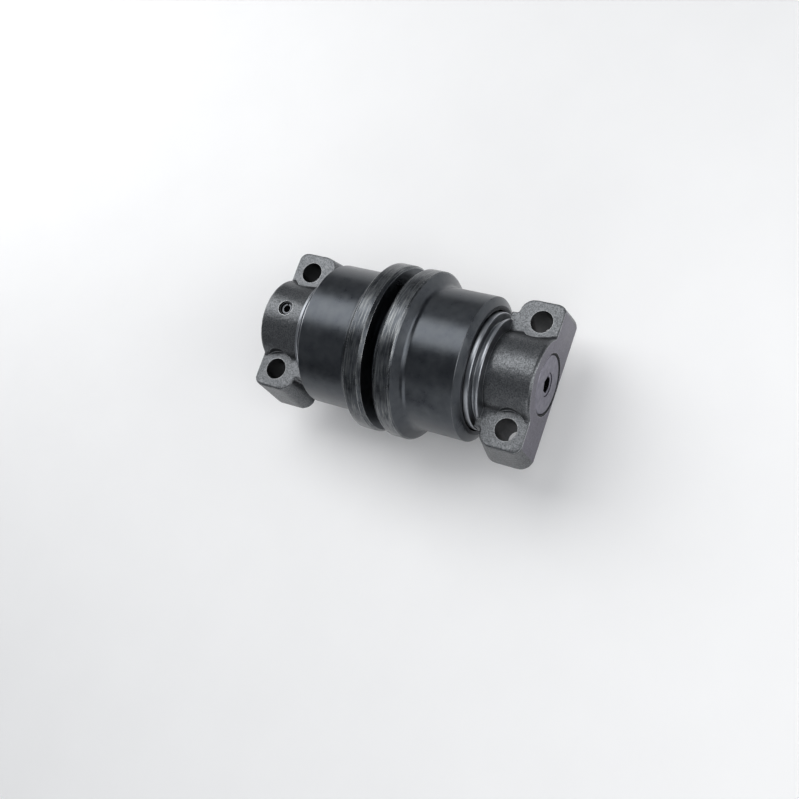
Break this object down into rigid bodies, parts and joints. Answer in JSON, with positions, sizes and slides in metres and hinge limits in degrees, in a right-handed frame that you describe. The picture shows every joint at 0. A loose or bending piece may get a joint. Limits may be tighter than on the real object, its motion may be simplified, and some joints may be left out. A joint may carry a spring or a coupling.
{
  "type": "track roller",
  "caption": "Double-flange track roller that spins on a fixed shaft between two end collars with flat mounting pads and bolt ears.",
  "frame": {"origin": "middle of the roller shell, on the spin axis", "axes": "+Y along the spin axis, towards the end of the shaft that has the oil plug; +X across the two bolt ears of a collar; +Z towards the bolt heads, away from the mounting pads"},
  "size_m": [0.1484, 0.261, 0.1484],
  "materials": {
    "turned_shell_steel": "turned and hardened, dark satin",
    "cast_collar_steel": "cast and shot-blasted, pad and end face machined",
    "ground_shaft_steel": "ground",
    "blackened_steel": "blackened",
    "lapped_seal_steel": "lapped",
    "spring_steel": "oiled spring steel",
    "bearing_bronze": "bored bronze",
    "seal_rubber": "moulded black rubber"
  },
  "bodies": {
    "axle": {"shaft": "ground_shaft_steel", "oil_plug": "blackened_steel", "oil_plug_o_ring": "seal_rubber", "collar_left": "cast_collar_steel", "collar_right": "cast_collar_steel", "collar_pin_left": "spring_steel", "collar_pin_right": "spring_steel", "shaft_o_ring_left": "seal_rubber", "shaft_o_ring_right": "seal_rubber", "collar_seal_ring_left": "lapped_seal_steel", "collar_seal_ring_right": "lapped_seal_steel", "collar_toric_ring_left": "seal_rubber", "collar_toric_ring_right": "seal_rubber"},
    "roller": {"roller_shell": "turned_shell_steel", "bushing_left": "bearing_bronze", "bushing_right": "bearing_bronze", "shell_seal_ring_left": "lapped_seal_steel", "shell_seal_ring_right": "lapped_seal_steel", "shell_toric_ring_left": "seal_rubber", "shell_toric_ring_right": "seal_rubber"}
  },
  "joints": [
    {"name": "roller_spin", "type": "hinge", "parent": "axle", "child": "roller", "pos_m": [0, 0, 0], "axis": [0, 1, 0], "continuous": true}
  ]
}
